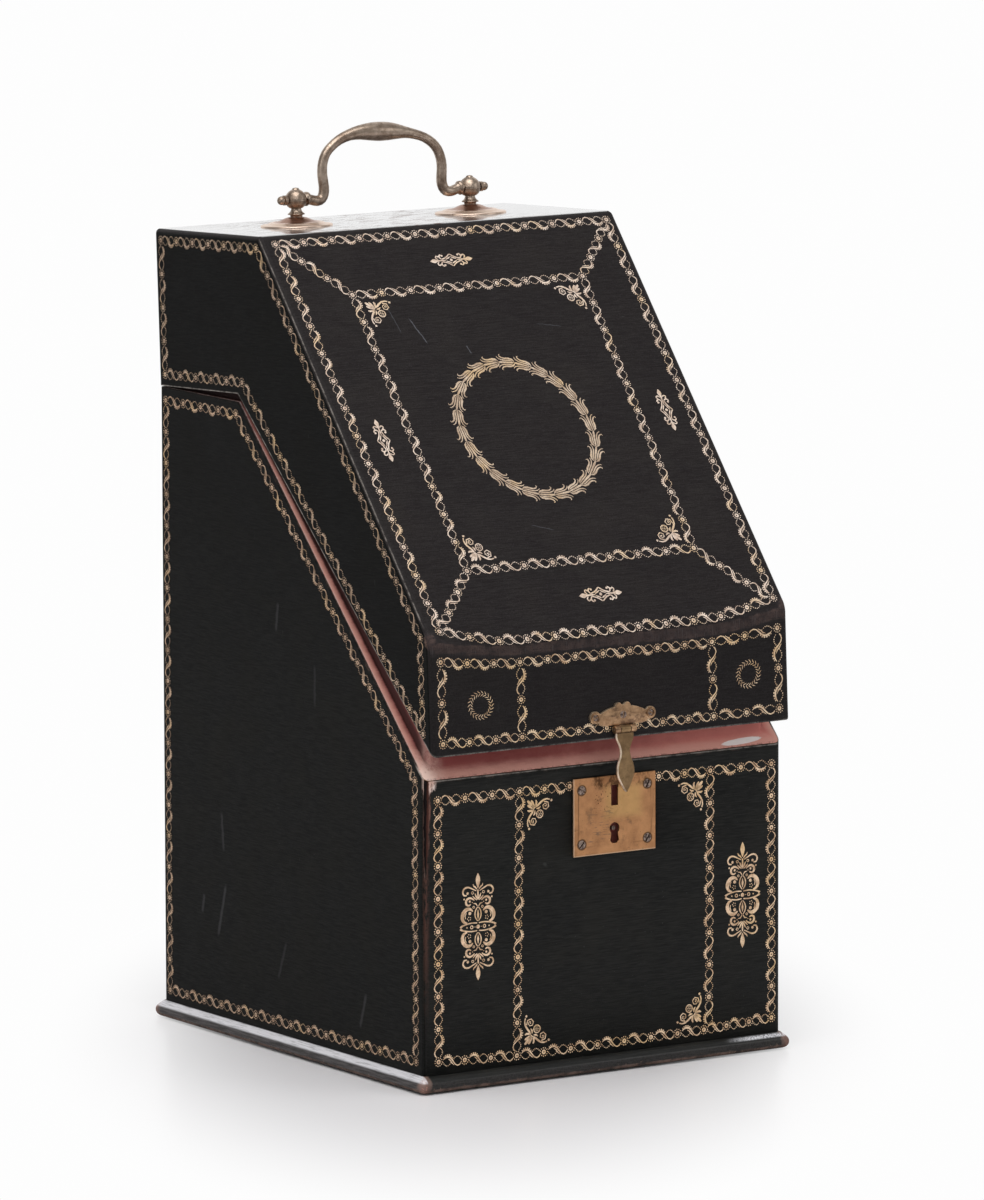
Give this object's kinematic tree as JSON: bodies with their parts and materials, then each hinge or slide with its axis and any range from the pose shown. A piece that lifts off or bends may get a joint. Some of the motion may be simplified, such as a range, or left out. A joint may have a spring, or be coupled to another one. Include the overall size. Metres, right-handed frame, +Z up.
{
  "type": "cutlery case",
  "caption": "Upright slope-front leather-covered case with a hinged lid over an inner rim, carrying handle, hasp, lock and a celled rack for cutlery.",
  "frame": {"origin": "middle of the underside, on the surface that the case stands on", "axes": "+X to the case's right as seen from the front, -Y towards the viewer of the front, +Z up; the lid is 2.8 degrees open at rest"},
  "size_m": [0.207, 0.2487, 0.4283],
  "materials": {
    "dark_leather": "straight-grained goatskin, near-black green, gilt tooled, worn at the edges",
    "rim_leather": "thin faded pink-red skin",
    "wood": "plain softwood boards",
    "brass": "aged rolled brass, warm and scratched",
    "bronze": "cast brass, darkened",
    "steel": "dark iron",
    "baize": "worn green cloth"
  },
  "bodies": {
    "case": {"base_baize": "baize", "base_board": "dark_leather", "front_board": "wood", "back_board": "wood", "left_board": "wood", "right_board": "wood", "front_leather": "dark_leather", "back_leather": "dark_leather", "left_leather": "dark_leather", "right_leather": "dark_leather", "rim_front": "rim_leather", "rim_back": "rim_leather", "rim_left": "rim_leather", "rim_right": "rim_leather", "floor_lining": "rim_leather", "rack_long_1": "wood", "rack_long_2": "wood", "rack_long_3": "wood", "rack_long_4": "wood", "rack_long_5": "wood", "rack_cross_1": "wood", "rack_cross_2": "wood", "rack_cross_3": "wood", "lock_plate": "brass", "lock_plate_screws": "steel", "lock_case": "steel", "key_pin": "steel", "lock_spring": "steel", "case_hinge_leaf_left": "brass", "case_hinge_leaf_right": "brass", "hinge_pins": "bronze", "case_hinge_screws": "brass"},
    "lid": {"lid_top_board": "wood", "lid_slope_board": "wood", "lid_apron_board": "wood", "lid_back_board": "wood", "lid_left_board": "wood", "lid_right_board": "wood", "lid_front_leather": "dark_leather", "lid_back_leather": "dark_leather", "lid_left_leather": "dark_leather", "lid_right_leather": "dark_leather", "lid_lining": "rim_leather", "lid_side_linings": "rim_leather", "lid_hinge_leaf_left": "brass", "lid_hinge_leaf_right": "brass", "lid_hinge_screws": "brass", "rosette_left": "brass", "rosette_right": "brass", "post_left": "bronze", "post_right": "bronze", "post_nuts": "brass", "hasp_plate": "brass", "hasp_plate_screws": "steel", "hasp_pin": "steel"},
    "handle": {"bail": "bronze", "bail_finials": "bronze"},
    "hasp": {"hasp_leaf": "brass"},
    "bolt": {"lock_bolt": "brass"}
  },
  "joints": [
    {"name": "lid_hinge", "type": "hinge", "parent": "case", "child": "lid", "pos_m": [0, 0.1187, 0.3056], "axis": [-1, 0, 0], "range_deg": [-2.8, 92.2]},
    {"name": "handle_pivot", "type": "hinge", "parent": "lid", "child": "handle", "pos_m": [0, 0.07335, 0.39572], "axis": [1, 0, 0], "range_deg": [-100, 100]},
    {"name": "hasp_hinge", "type": "hinge", "parent": "lid", "child": "hasp", "pos_m": [0.005, -0.12545, 0.16312], "axis": [-1, 0, 0], "range_deg": [0, 120]},
    {"name": "bolt_slide", "type": "slide", "parent": "case", "child": "bolt", "axis": [1, 0, 0], "range_m": [0, 0.0046]}
  ]
}
